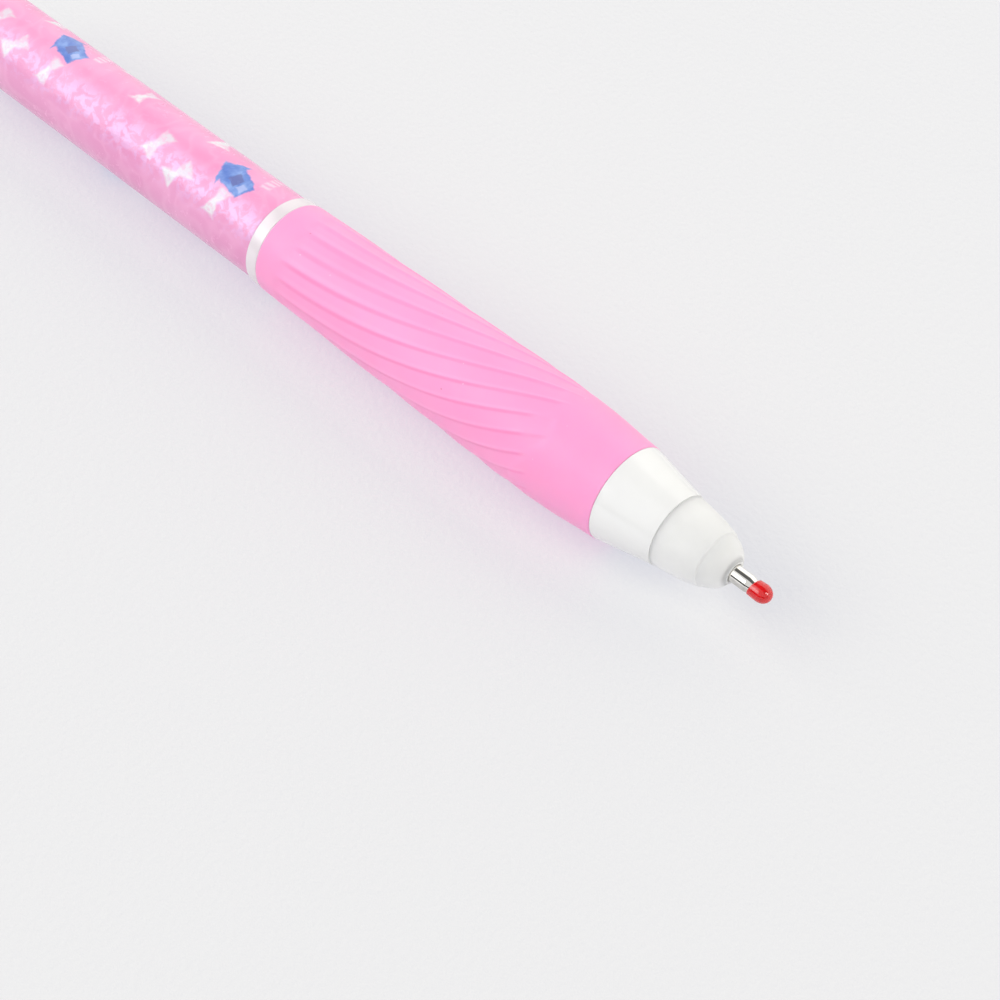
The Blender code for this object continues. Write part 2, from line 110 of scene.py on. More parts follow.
class Net:
    """A material and short ways to add nodes to it."""

    def __init__(self, name, color, roughness, **values):
        self.material = bpy.data.materials.new(name)
        self.material.use_nodes = True
        self.tree = self.material.node_tree
        self.shader = self.tree.nodes["Principled BSDF"]
        self.set("Base Color", (*color, 1.0))
        self.set("Roughness", roughness)
        for key, value in values.items():
            self.set(key.replace("_", " "), value)
        self.coordinates = None

    def set(self, socket, value):
        target = self.shader.inputs[socket]
        if isinstance(value, bpy.types.NodeSocket):
            self.tree.links.new(value, target)
        else:
            target.default_value = value

    def node(self, kind, values=None, **settings):
        node = self.tree.nodes.new(kind)
        for key, value in settings.items():
            setattr(node, key, value)
        for key, value in (values or {}).items():
            if isinstance(value, bpy.types.NodeSocket):
                self.tree.links.new(value, node.inputs[key])
            elif value is not None:
                node.inputs[key].default_value = value
        return node

    def where(self):
        """Object coordinates in millimetres, on the pen's own axes."""
        if self.coordinates is None:
            source = self.node("ShaderNodeTexCoord").outputs["Object"]
            scaled = self.node("ShaderNodeVectorMath", {0: source, 3: 1.0 / MM}, operation="SCALE")
            self.coordinates = scaled.outputs[0]
        return self.coordinates

    def math(self, operation, a, b=None, c=None):
        node = self.node("ShaderNodeMath", {0: a, 1: b, 2: c}, operation=operation)
        return node.outputs[0]

    def noise(self, size, detail=2.0, roughness=0.5, distortion=0.0, vector=None):
        """Fractal noise from 0 to 1 whose blobs are about `size` millimetres across."""
        node = self.node(
            "ShaderNodeTexNoise",
            {
                "Vector": vector if vector is not None else self.where(),
                "Scale": 1.0 / size,
                "Detail": detail,
                "Roughness": roughness,
                "Distortion": distortion,
            },
        )
        return node.outputs[0]

    def stretch(self, x, y, z):
        """The coordinates, each multiplied by its own factor."""
        values = {0: self.where(), 1: (x, y, z)}
        return self.node("ShaderNodeVectorMath", values, operation="MULTIPLY").outputs[0]

    def remap(self, value, low, high, to_low=0.0, to_high=1.0):
        """A smooth step from to_low, where value is low, to to_high, where it is high."""
        node = self.node(
            "ShaderNodeMapRange",
            {0: value, 1: low, 2: high, 3: to_low, 4: to_high},
            interpolation_type="SMOOTHSTEP",
        )
        return node.outputs[0]

    def mix(self, share, a, b):
        """Colour a where share is 0 and colour b where it is 1."""
        node = self.node("ShaderNodeMix", data_type="RGBA")
        for index, value in ((0, share), (6, a), (7, b)):
            if isinstance(value, bpy.types.NodeSocket):
                self.tree.links.new(value, node.inputs[index])
            elif isinstance(value, tuple):
                node.inputs[index].default_value = (*value, 1.0)
            else:
                node.inputs[index].default_value = value
        return node.outputs[2]

    def mottle(self, size, detail, dark, light):
        """A colour that drifts between two in soft clouds of about the given size."""
        return self.mix(self.remap(self.noise(size, detail), 0.3, 0.7), dark, light)

    def layer(self, share, strength, under, over):
        """One colour over another, at the given strength where share is 1."""
        return self.mix(self.math("MULTIPLY", share, strength), under, over)

    def bump(self, height, strength, distance, below=None):
        node = self.node(
            "ShaderNodeBump",
            {"Height": height, "Strength": strength, "Distance": distance * MM, "Normal": below},
        )
        return node.outputs[0]

    def unrolled(self):
        """Station in millimetres, and degrees round the pen from its facing side, -180 to 180."""
        parts = self.node("ShaderNodeSeparateXYZ", {0: self.where()}).outputs
        along, across = self.turned(parts[1], parts[2], FACING)
        turn = self.math("DEGREES", self.math("ARCTAN2", across, along))
        return parts[0], turn

    def turned(self, u, v, degrees):
        """The same point on axes turned by some degrees."""
        a = math.radians(degrees)
        p = self.math("MULTIPLY_ADD", u, math.cos(a), self.math("MULTIPLY", v, math.sin(a)))
        q = self.math("MULTIPLY_ADD", u, -math.sin(a), self.math("MULTIPLY", v, math.cos(a)))
        return p, q


def srgb(*channels):
    """A colour given as 0 to 255 screen values."""
    return tuple(
        c / 255 / 12.92 if c <= 10.3 else ((c / 255 + 0.055) / 1.055) ** 2.4 for c in channels
    )


def white_plastic(name="white moulded plastic", color=srgb(238, 238, 237)):
    net = Net(name, color, 0.16, IOR=1.49, Coat_Weight=0.3, Coat_Roughness=0.05)
    net.set("Base Color", net.mottle(9.0, 3.0, tuple(c * 0.965 for c in color), color))
    net.set("Roughness", net.remap(net.noise(1.6, 4.0), 0.25, 0.8, 0.12, 0.24))
    net.set("Normal", net.bump(net.noise(1.1, 2.0), 0.05, 0.02))
    net.set("Subsurface Weight", 0.12)
    net.set("Subsurface Radius", (0.0010, 0.0010, 0.0010))
    net.set("Subsurface Scale", 1.0)
    return net.material


# ---- mesh building ------------------------------------------------------------------------------

def finish(name, bm, material, body, nodes, sharp=35.0):
    """Makes an object of the mesh, which rides on a body and stands for some CAD nodes."""
    bmesh.ops.recalc_face_normals(bm, faces=bm.faces)
    mesh = bpy.data.meshes.new(name)
    bm.to_mesh(mesh)
    bm.free()
    mesh.shade_smooth()
    mesh.set_sharp_from_angle(angle=math.radians(sharp))
    mesh.materials.append(material)
    obj = bpy.data.objects.new(name, mesh)
    bpy.context.scene.collection.objects.link(obj)
    obj.location = AXIS
    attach(obj, body)
    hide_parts(*nodes)


def rounded(profile, pieces=4):
    """The (station, radius, rounding) corners with each corner turned into a small arc."""
    points = []
    count = len(profile)
    for i, (x, r, size) in enumerate(profile):
        corner = Vector((x, r))
        if size <= 0.0:
            points.append(corner)
            continue
        before = Vector(profile[i - 1][:2]) - corner
        after = Vector(profile[(i + 1) % count][:2]) - corner
        reach = min(size, before.length * 0.48, after.length * 0.48)
        start = corner + before.normalized() * reach
        end = corner + after.normalized() * reach
        for k in range(pieces + 1):
            t = k / pieces
            points.append(start * (1 - t) ** 2 + corner * 2 * t * (1 - t) + end * t**2)
    return [(p.x, p.y) for p in points]


def refine(points, step):
    """The same outline with no stretch longer than step."""
    fine = []
    for a, b in zip(points, points[1:]):
        pieces = max(1, math.ceil(math.dist(a, b) / step))
        fine += [
            (a[0] + (b[0] - a[0]) * k / pieces, a[1] + (b[1] - a[1]) * k / pieces)
            for k in range(pieces)
        ]
    return fine + [points[-1]]


def lathe(points, steps, closed=True, shape=None):
    """Turns (station, radius) points about the pen's axis. `shape` may change each radius."""
    bm = bmesh.new()
    rings = []
    for x, r in points:
        if r < 1e-6:
            rings.append([bm.verts.new((x * MM, 0.0, 0.0))])
            continue
        ring = []
        for i in range(steps):
            angle = 360.0 * i / steps
            radius = (shape(x, angle, r) if shape else r) * MM
            a = math.radians(angle)
            ring.append(bm.verts.new((x * MM, radius * math.cos(a), radius * math.sin(a))))
        rings.append(ring)
    pairs = list(zip(rings, rings[1:]))
    if closed:
        pairs.append((rings[-1], rings[0]))
    for one, two in pairs:
        for i in range(steps):
            j = (i + 1) % steps
            if len(one) == 1:
                bm.faces.new((one[0], two[i], two[j]))
            elif len(two) == 1:
                bm.faces.new((one[i], one[j], two[0]))
            else:
                bm.faces.new((one[i], one[j], two[j], two[i]))
    return bm


# ---- grip ------------------------------------------------------------------------------------

def grip_radius(x):
    """The grip's outer radius, a smooth curve through its stated radii."""
    last = len(GRIP_RADII) - 1
    step = GRIP_LENGTH / last
    just_short = 0.000001  # keeps the very end in the last stretch
    along = min(max(-x / step, 0.0), last - just_short)
    i = int(along)
    t = along - i
    before, a, b, after = (GRIP_RADII[min(max(k, 0), last)] for k in (i - 1, i, i + 1, i + 2))
    slope_a = (b - before) / 2.0
    slope_b = (after - a) / 2.0
    return (
        (2 * t**3 - 3 * t**2 + 1) * a + (t**3 - 2 * t**2 + t) * slope_a
        + (-2 * t**3 + 3 * t**2) * b + (t**3 - t**2) * slope_b
    )


def smooth(value, low, high):
    """A smooth step from 0 to 1 between two values."""
    t = min(max((value - low) / (high - low), 0.0), 1.0)
    return t * t * (3.0 - 2.0 * t)


def rib_end(angle):
    """Where the ribs stop at the front: a line that waves round the pen."""
    return RIBS_STOP + STOP_WAVE * math.cos(STOP_WAVES * math.radians(angle - STOP_PHASE))


def rib_dip(x, angle):
    """Depth of the ribs below the grip's full radius: each rises to a lip and drops there."""
    along = max(x - RIB_START, 0.0)
    twist = RIB_TWIST * along + RIB_TWIST_GROWTH * along**2
    share = ((angle + twist - RIB_PHASE) / 360.0 * RIB_COUNT) % 1.0
    drop = DROP_BACK + (DROP_FRONT - DROP_BACK) * smooth(x, *DROP_CHANGE)
    if share < drop:
        tooth = smooth(share, 0.0, drop)
    else:
        tooth = 1.0 - ((share - drop) / (1.0 - drop)) ** 2.0
    end = -rib_end(angle)
    fade = smooth(x, RIB_START, RIB_START + 1.2) * smooth(-x, end, end + 1.0)
    return RIB_DEPTH * fade * tooth


def painted_crease_masks(net):
    """Masks for painted shade on the ribs' drops and painted highlight on the lips beside them, 0
    to 1, from the same curves as rib_dip.
    """
    station, turn = net.unrolled()
    along = net.math("MAXIMUM", net.math("SUBTRACT", station, RIB_START), 0.0)
    twist = net.math("MULTIPLY_ADD", along, RIB_TWIST_GROWTH, RIB_TWIST)
    twist = net.math("MULTIPLY", along, twist)
    drop = net.remap(station, *DROP_CHANGE, DROP_BACK, DROP_FRONT)
    ribs = net.math("MULTIPLY", net.math("ADD", turn, twist), RIB_COUNT / 360.0)
    phase = (FACING - RIB_PHASE) / 360.0 * RIB_COUNT + 0.5
    from_middle = net.math("ADD", net.math("MULTIPLY_ADD", drop, -0.5, phase), ribs)
    from_middle = net.math("SUBTRACT", net.math("FRACT", from_middle), 0.5)
    from_middle = net.math("DIVIDE", from_middle, drop)
    line = net.remap(net.math("ABSOLUTE", from_middle), 0.75, 0.1)
    lip = net.remap(net.math("ABSOLUTE", net.math("ADD", from_middle, 1.0)), 0.7, 0.1)
    wave = net.math("SUBTRACT", turn, STOP_PHASE - FACING)
    wave = net.math("COSINE", net.math("MULTIPLY", wave, math.radians(STOP_WAVES)))
    end = net.math("MULTIPLY_ADD", wave, -STOP_WAVE, net.math("SUBTRACT", RIBS_STOP, station))
    start = net.remap(station, RIB_START, RIB_START + 3.0)
    fade = net.math("MULTIPLY", net.remap(end, 0.0, 1.6), start)
    return net.math("MULTIPLY", line, fade), net.math("MULTIPLY", lip, fade)


def rubber():
    net = Net("pink grip rubber", srgb(255, 161, 208), 0.45, IOR=1.45)
    color = net.mottle(14.0, 2.0, srgb(255, 159, 206), srgb(255, 163, 210))
    turn = net.unrolled()[1]
    line, lip = painted_crease_masks(net)
    # painted shade: darker pink along the creases, stronger on the lower half of the facing side
    color = net.layer(line, net.remap(turn, -60.0, 0.0, 0.18, 0.6), color, srgb(250, 140, 193))
    # painted highlight: paler pink on the lip beside each crease
    color = net.layer(lip, 0.3, color, srgb(255, 176, 218))
    dust = net.remap(net.noise(0.55, 1.0), 0.80, 0.83)
    color = net.layer(dust, 0.45, color, srgb(255, 236, 246))
    grime = net.remap(net.noise(0.62, 1.0, vector=net.stretch(1.0, 1.0, -1.0)), 0.815, 0.835)
    color = net.layer(grime, 0.55, color, srgb(200, 95, 120))
    net.set("Base Color", color)
    net.set("Roughness", net.remap(net.noise(2.4, 4.0), 0.25, 0.75, 0.38, 0.50))
    grain = net.bump(net.noise(0.22, 3.0, 0.6), 0.10, 0.02)
    net.set("Normal", net.bump(net.noise(3.5, 2.0), 0.06, 0.10, below=grain))
    net.set("Subsurface Weight", 0.25)
    net.set("Subsurface Radius", (0.0012, 0.0005, 0.0008))
    net.set("Subsurface Scale", 1.0)
    net.set("Specular IOR Level", 0.35)
    net.set("Sheen Weight", 0.04)
    net.set("Sheen Roughness", 0.5)
    return net.material


def grip():
    back = -GRIP_LENGTH - 0.02
    front = -0.02
    fine_end, fine, coarse = 0.8, 0.12, 0.36
    outer = []
    x = front
    while x > back:
        outer.append((x, grip_radius(x)))
        x -= fine if x > -fine_end or x < back + fine_end else coarse
    outer.append((back, grip_radius(back)))
    rim = 0.06

    def shape(x, angle, r):
        if r <= GRIP_BORE:
            return r
        ends = min(front - x, x - back)
        round_off = rim - math.sqrt(max(rim**2 - max(rim - ends, 0.0) ** 2, 0.0))
        return r - round_off - rib_dip(x, angle)

    points = outer + [(back, GRIP_BORE), (front, GRIP_BORE)]
    bm = lathe(points, RIB_COUNT * 18, shape=shape)
    finish("grip_rubber", bm, rubber(), "front", ["grip"], sharp=50.0)


# ---- nose, cone and ring -------------------------------------------------------------------------

def thread(x, angle, r):
    """A rounded right-hand thread on the spigot."""
    start, end, inside = -61.6, -68.9, 4.2
    if not (end < x < start) or r < inside:
        return r
    wave = 0.5 + 0.5 * math.cos(2 * math.pi * (x / THREAD_PITCH - angle / 360.0))
    fade = smooth(x, end, -68.2) * smooth(-x, -start, 62.2)
    return r - THREAD_DEPTH * fade * (1.0 - smooth(wave, 0.35, 0.75))


def cone():
    shoulder = -GRIP_LENGTH - RING_WIDTH
    profile = rounded([
        (8.0, 4.90, 0.06), (4.0, 5.67, 1.5), (0.02, 6.45, 0.04), (-0.01, 4.9, 0.0),
        (shoulder, 4.9, 0.0), (shoulder, SPIGOT_R, 0.0), (SPIGOT_END, SPIGOT_R, 0.35),
        (SPIGOT_END, 3.4, 0.1), (5.3, 3.4, 0.0), (5.3, 3.62, 0.0), (8.0, 3.62, 0.15),
    ])
    # the spigot's outside gets rings close enough together to carry the thread
    spigot = [p for p in profile if p[0] < -60.0 and p[1] > 4.4]
    first = profile.index(spigot[1])
    last = profile.index(spigot[-1])
    profile = profile[:first] + refine(profile[first:last + 1], 0.12) + profile[last + 1:]
    bm = lathe(profile, 144, shape=thread)
    finish("cone_and_spigot", bm, white_plastic(), "front", ["nose_cone"])


def frosted():
    net = Net("frosted nose plastic", srgb(234, 234, 232), 0.42, IOR=1.49)
    net.set("Subsurface Weight", 0.5)
    net.set("Subsurface Radius", (0.0030, 0.0030, 0.0028))
    net.set("Subsurface Scale", 1.0)
    color = net.mottle(3.0, 3.0, srgb(228, 228, 226), srgb(232, 232, 230))
    # whiter low on the facing side, where the photograph's light makes it so
    color = net.mix(net.remap(net.unrolled()[1], 40.0, 90.0), color, srgb(246, 246, 245))
    # painted shade: a grey ring painted round the hole, where the dark inside would show through
    # the thin plastic
    parts = net.node("ShaderNodeSeparateXYZ", {0: net.where()}).outputs
    across = net.node("ShaderNodeCombineXYZ", {1: parts[1], 2: parts[2]}).outputs[0]
    radius = net.node("ShaderNodeVectorMath", {0: across}, operation="LENGTH").outputs["Value"]
    dark = net.math("MULTIPLY", net.remap(radius, 2.3, 1.6), net.remap(radius, 1.42, 1.55))
    dark = net.math("MULTIPLY", dark, net.remap(parts[0], 15.9, 16.6))
    net.set("Base Color", net.layer(dark, 0.4, color, srgb(120, 120, 124)))
    net.set("Roughness", net.remap(net.noise(1.3, 4.0), 0.25, 0.75, 0.34, 0.48))
    net.set("Normal", net.bump(net.noise(0.18, 3.0, 0.6), 0.12, 0.02))
    return net.material


def nose_tip():
    profile = rounded([
        (16.84, 1.22, 0.05), (16.9, 1.30, 0.04), (16.9, 1.50, 0.06), (16.62, 1.66, 0.12),
        (16.52, 2.05, 0.25), (15.9, 2.78, 0.6), (14.9, 3.34, 0.6), (14.12, 3.58, 0.2),
        (14.02, 3.78, 0.10), (12.0, 4.29, 1.2), (10.0, 4.56, 1.0), (8.4, 4.76, 0.3),
        (8.02, 4.86, 0.03), (8.02, 3.5, 0.0), (5.5, 3.5, 0.2), (5.5, 2.8, 0.1),
        (14.2, 2.8, 0.2), (15.3, 1.22, 0.2),
    ], 5)
    bm = lathe(profile, 144)
    finish("frosted_tip", bm, frosted(), "front", ["nose_tip"])


def spacer():
    front = -GRIP_LENGTH - 0.03
    back = -GRIP_LENGTH - RING_WIDTH
    profile = rounded([
        (front, RING_R, 0.12), (back, RING_R, 0.12),
        (back, GRIP_BORE, 0.0), (front, GRIP_BORE, 0.0),
    ], 5)
    bm = lathe(profile, 144)
    look = white_plastic("white ring plastic", srgb(231, 222, 227))
    finish("white_ring", bm, look, "ring", ["spacer_ring"])


# ---- refill -----------------------------------------------------------------------------------

def steel(name, color, roughness):
    """Drawn steel with fine rings round it, stained here and there.

    It is painted darker low on the facing side: a painted reflection, where the photograph shows a
    dark reflection.
    """
    net = Net(name, color, roughness, Metallic=1.0)
    rings = net.noise(1.0, 3.0, vector=net.stretch(14.0, 0.5, 0.5))
    net.set("Roughness", net.remap(rings, 0.2, 0.8, roughness * 0.7, roughness * 1.5))
    net.set("Normal", net.bump(rings, 0.06, 0.01))
    stain = net.remap(net.noise(1.4, 3.0), 0.35, 0.8)
    bright = net.mix(stain, color, tuple(c * 0.88 for c in color))
    # painted reflection: the stained colour darkened low on the facing side
    stain_and_painted_reflection = net.mix(stain, tuple(c * 0.74 for c in color), tuple(c * 0.5 for c in color))
    low = net.remap(net.unrolled()[1], 34.0, 46.0)
    net.set("Base Color", net.mix(low, bright, stain_and_painted_reflection))
    return net.material


def nib():
    profile = rounded([
        (21.29, 0.33, 0.03), (20.9, 0.44, 0.06), (20.86, 0.53, 0.03), (19.05, NIB_R, 0.12),
        (9.65, NIB_R, 0.05), (9.5, 1.0, 0.05), (9.5, 0.75, 0.0), (17.8, 0.75, 0.0),
        (18.4, 0.2, 0.0), (20.85, 0.2, 0.0), (20.9, 0.29, 0.0), (21.29, 0.28, 0.0),
    ], 5)
    bm = lathe(profile, 96)
    look = steel("polished nib steel", (0.90, 0.88, 0.84), 0.06)
    finish("steel_nib", bm, look, "refill", ["nib"])


def ball():
    steps = 20
    angles = [math.pi * k / steps for k in range(steps + 1)]
    points = [(BALL_AT + BALL_R * math.cos(a), BALL_R * math.sin(a)) for a in angles]
    bm = lathe(points, 2 * steps, closed=False)
    look = steel("carbide ball", (0.42, 0.42, 0.44), 0.12)
    finish("ball_point", bm, look, "refill", ["writing_ball"])


def resin():
    net = Net("red resin", srgb(222, 14, 22), 0.06, IOR=1.5, Coat_Weight=0.55, Coat_Roughness=0.05)
    net.set("Base Color", net.mottle(1.4, 2.0, srgb(216, 10, 18), srgb(228, 20, 28)))
    net.set("Transmission Weight", 0.12)
    net.set("Subsurface Weight", 0.2)
    net.set("Subsurface Radius", (0.0012, 0.0002, 0.0002))
    net.set("Subsurface Scale", 1.0)
    net.set("Roughness", net.remap(net.noise(0.8, 2.0), 0.3, 0.8, 0.05, 0.10))
    net.set("Normal", net.bump(net.noise(1.0, 0.0), 0.12, 0.08))
    return net.material


def seal():
    """The drop of resin over the writing ball, a little lumpy, with a slanting rear edge."""
    outer = [(SEAL_FRONT, 0.0)]
    rings = 28
    for k in range(1, rings + 1):
        x = SEAL_FRONT - SEAL_LENGTH * (k / rings)
        bulge = 1.0
        if x > SEAL_WIDEST:
            bulge = math.sqrt(max(1.0 - ((x - SEAL_WIDEST) / SEAL_CAP) ** 2, 0.0))
        waist = 1.0 - 0.04 * smooth(SEAL_WIDEST - x, 0.0, 1.2)
        outer.append((x, SEAL_R * bulge * waist))
    rear = [(19.78, 1.08)]
    inner = [(19.9, 1.0), (21.0, 0.575), (21.36, 0.42), (21.62, 0.3), (21.62, 0.0)]

    def lumpy(x, angle, r):
        if r < 1.02 and x < 21.9:
            return r
        a = math.radians(angle)
        lump = 0.030 * math.cos(a - 2.1) + 0.018 * math.cos(2 * a + 0.6)
        return r * (1.0 + lump * smooth(SEAL_FRONT - x, 0.0, 0.8))

    bm = lathe(outer + rear + inner, 72, closed=False, shape=lumpy)
    slant, slant_at, slant_from = 0.20, math.radians(35.0), 21.2
    for vert in bm.verts:
        side = vert.co.y * math.cos(slant_at) + vert.co.z * math.sin(slant_at)
        vert.co.x += slant * side * smooth(slant_from - vert.co.x / MM, 0.0, 1.2)
    finish("resin_drop", bm, resin(), "seal", ["tip_seal"], sharp=60.0)


def natural(name="unpigmented plastic"):
    net = Net(name, srgb(242, 241, 234), 0.4, IOR=1.5, Transmission_Weight=0.15)
    net.set("Base Color", net.mottle(2.0, 3.0, srgb(236, 235, 226), srgb(246, 245, 240)))
    net.set("Roughness", net.remap(net.noise(1.0, 4.0), 0.3, 0.7, 0.32, 0.48))
    net.set("Normal", net.bump(net.noise(0.4, 2.0), 0.08, 0.02))
    return net.material


def clear(name="clear plastic"):
    net = Net(name, srgb(244, 247, 249), 0.1, IOR=1.49, Transmission_Weight=0.9)
    net.set("Roughness", net.remap(net.noise(2.0, 3.0), 0.3, 0.7, 0.06, 0.16))
    net.set("Normal", net.bump(net.noise(3.0, 1.0), 0.05, 0.05))
    return net.material


def ink():
    net = Net("gel ink", srgb(24, 24, 30), 0.25, IOR=1.4)
    net.set("Base Color", net.mottle(4.0, 2.0, srgb(18, 18, 24), srgb(34, 33, 44)))
    net.set("Roughness", net.remap(net.noise(1.0, 2.0), 0.3, 0.7, 0.18, 0.34))
    return net.material


def grease():
    net = Net("follower grease", srgb(226, 216, 168), 0.3, IOR=1.46, Transmission_Weight=0.4)
    net.set("Base Color", net.mottle(1.5, 3.0, srgb(218, 206, 150), srgb(236, 228, 190)))
    net.set("Normal", net.bump(net.noise(0.8, 2.0), 0.1, 0.05))
    return net.material


def hollow(station, depth=0.8, steps=6):
    """Points of a fill's hollowed rear end, from its full radius in to the axis."""
    return [
        (station + depth * (1 - (k / steps) ** 2), INK_R * k / steps) for k in range(steps, -1, -1)
    ]


def refill():
    plastic = natural()
    holder = rounded([
        (12.5, 1.6, 0.25), (4.2, 1.75, 0.15), (4.2, 2.95, 0.2), (0.0, 2.95, 0.1), (0.0, 1.75, 0.05),
        (-5.0, 1.75, 0.2), (-5.0, 0.6, 0.0), (9.2, 0.6, 0.0), (9.2, 1.17, 0.0), (12.5, 1.17, 0.05),
    ])
    bm = lathe(holder, 64)
    finish("nib_socket", bm, plastic, "refill", ["nib_holder"])
    tube = rounded([
        (REFILL_FRONT, REFILL_R, 0.15), (REFILL_END, REFILL_R, 0.15),
        (REFILL_END, REFILL_BORE, 0.05), (REFILL_FRONT, REFILL_BORE, 0.05),
    ])
    bm = lathe(tube, 64)
    finish("refill_tube", bm, clear(), "refill", ["ink_tube"])
    plug = rounded([
        (-84.0, 1.75, 0.3), (-88.3, 1.75, 0.05), (-88.3, 2.9, 0.1), (-91.0, 2.9, 0.25),
        (-91.0, 0.4, 0.1), (-84.0, 0.4, 0.0),
    ])
    bm = lathe(plug, 64)
    finish("refill_plug", bm, plastic, "refill", ["tail_plug"])
    gel = [(INK_FRONT, 0.0), (INK_FRONT, INK_R)] + hollow(INK_END)
    bm = lathe(gel, 48, closed=False)
    finish("ink_fill", bm, ink(), "refill", ["gel_ink"])
    fat = [(GREASE_FRONT - 0.8 * (k / 6) ** 2, INK_R * k / 6) for k in range(7)]
    bm = lathe(fat + hollow(GREASE_END), 48, closed=False)
    finish("grease_fill", bm, grease(), "refill", ["follower_grease"])


def spring():
    """The return spring: open turns between two closed ones, in round wire."""
    start, end, turns, wire, radius = 4.55, 12.95, 6, 0.2, 2.35
    per_turn, sides = 40, 10
    flat = 2.6 * wire
    centres = []
    for i in range((turns + 2) * per_turn + 1):
        turn = i / per_turn
        if turn < 1.0:
            rise = flat * turn
        elif turn > turns + 1.0:
            rise = (end - start) - flat * (turns + 2.0 - turn)
        else:
            rise = flat + (end - start - 2 * flat) * (turn - 1.0) / turns
        a = 2 * math.pi * turn
        centres.append(Vector((start + rise, radius * math.cos(a), radius * math.sin(a))))
    bm = bmesh.new()
    rings = []
    for i, centre in enumerate(centres):
        ahead = centres[min(i + 1, len(centres) - 1)]
        behind = centres[max(i - 1, 0)]
        along = (ahead - behind).normalized()
        out = Vector((0.0, centre.y, centre.z)).normalized()
        side = along.cross(out).normalized()
        rings.append([
            bm.verts.new((centre + wire * (out * math.cos(b) + side * math.sin(b))) * MM)
            for b in (2 * math.pi * k / sides for k in range(sides))
        ])
    for one, two in zip(rings, rings[1:]):
        for i in range(sides):
            j = (i + 1) % sides
            bm.faces.new((one[i], one[j], two[j], two[i]))
    bm.faces.new(rings[0])
    bm.faces.new(rings[-1])
    look = steel("spring wire", (0.62, 0.62, 0.63), 0.22)
    finish("coil_spring", bm, look, "refill", ["return_spring"], sharp=60.0)


# ---- barrel -----------------------------------------------------------------------------------

def polygon(net, u, v, corners):
    """How far inside a convex outline a point lies, in mm; its corners run either way round."""
    middle = sum((Vector(c) for c in corners), Vector((0.0, 0.0))) / len(corners)
    inside = None
    for i, corner in enumerate(corners):
        a = Vector(corner)
        b = Vector(corners[(i + 1) % len(corners)])
        normal = Vector((a.y - b.y, b.x - a.x)).normalized()
        if normal.dot(middle - a) < 0.0:
            normal = -normal
        depth = net.math("MULTIPLY_ADD", u, normal.x, -normal.dot(a))
        depth = net.math("MULTIPLY_ADD", v, normal.y, depth)
        inside = depth if inside is None else net.math("MINIMUM", inside, depth)
    return inside


def rectangle(net, u, v, x0, y0, x1, y1):
    return polygon(net, u, v, [(x0, y0), (x1, y0), (x1, y1), (x0, y1)])


def edge(net, depth, blur=0.16):
    """A soft-edged mask, 1 where the depth inside an outline is positive."""
    return net.remap(depth, -blur, blur)


def motif_axes(net, u, v, x, y, degrees):
    """Coordinates of a motif centred at (x, y) and turned."""
    return net.turned(net.math("SUBTRACT", u, x), net.math("SUBTRACT", v, y), degrees)


def house(net, u, v, x, y, degrees, color):
    """A plain blue house with one square window and a pale step."""
    p, q = motif_axes(net, u, v, x, y, degrees)
    walls = polygon(net, p, q, [(-1.5, -3.4), (1.5, -3.3), (1.9, 1.2), (-2.0, 1.2)])
    roof = polygon(net, p, q, [(-2.75, 1.0), (2.65, 0.6), (0.0, 3.4)])
    both = net.math("MAXIMUM", walls, roof)
    wash = net.remap(net.noise(1.5, 3.0), 0.35, 0.7)
    blue = net.mix(wash, srgb(104, 132, 206), srgb(140, 168, 226))
    color = net.mix(edge(net, both), color, blue)
    window = rectangle(net, p, q, -0.85, -1.5, 0.85, 0.15)
    color = net.mix(edge(net, window), color, srgb(112, 122, 180))
    step = rectangle(net, p, q, -0.5, -2.9, 0.6, -1.95)
    return net.layer(edge(net, step), 0.7, color, srgb(190, 200, 240))


def bow(net, u, v, x, y, degrees, color, size=1.0):
    """A plain white ribbon bow, thinly printed: two wings that meet in the middle."""
    p, q = motif_axes(net, u, v, x, y, degrees)
    thin = net.remap(net.noise(0.9, 2.0), 0.36, 0.54, 0.6, 1.0)
    wing = ((-2.3, -1.35), (-2.0, 1.25), (0.25, 0.3), (0.25, -0.3))
    for scale, white in ((size, srgb(230, 214, 227)), (-size, srgb(233, 226, 233))):
        corners = [(scale * a, scale * b) for a, b in wing]
        color = net.layer(edge(net, polygon(net, p, q, corners), 0.3), thin, color, white)
    return color


def strokes(net, u, v, x, y, degrees, color):
    """A short row of four white strokes."""
    p, q = motif_axes(net, u, v, x, y, degrees)
    count, spacing, half = 4, 0.95, 0.25
    for k in range(count):
        middle = (k - (count - 1) / 2) * spacing
        one = rectangle(net, p, q, middle - half, -0.7, middle + half, 0.7)
        color = net.layer(edge(net, one, 0.25), 0.6, color, srgb(246, 226, 238))
    return color


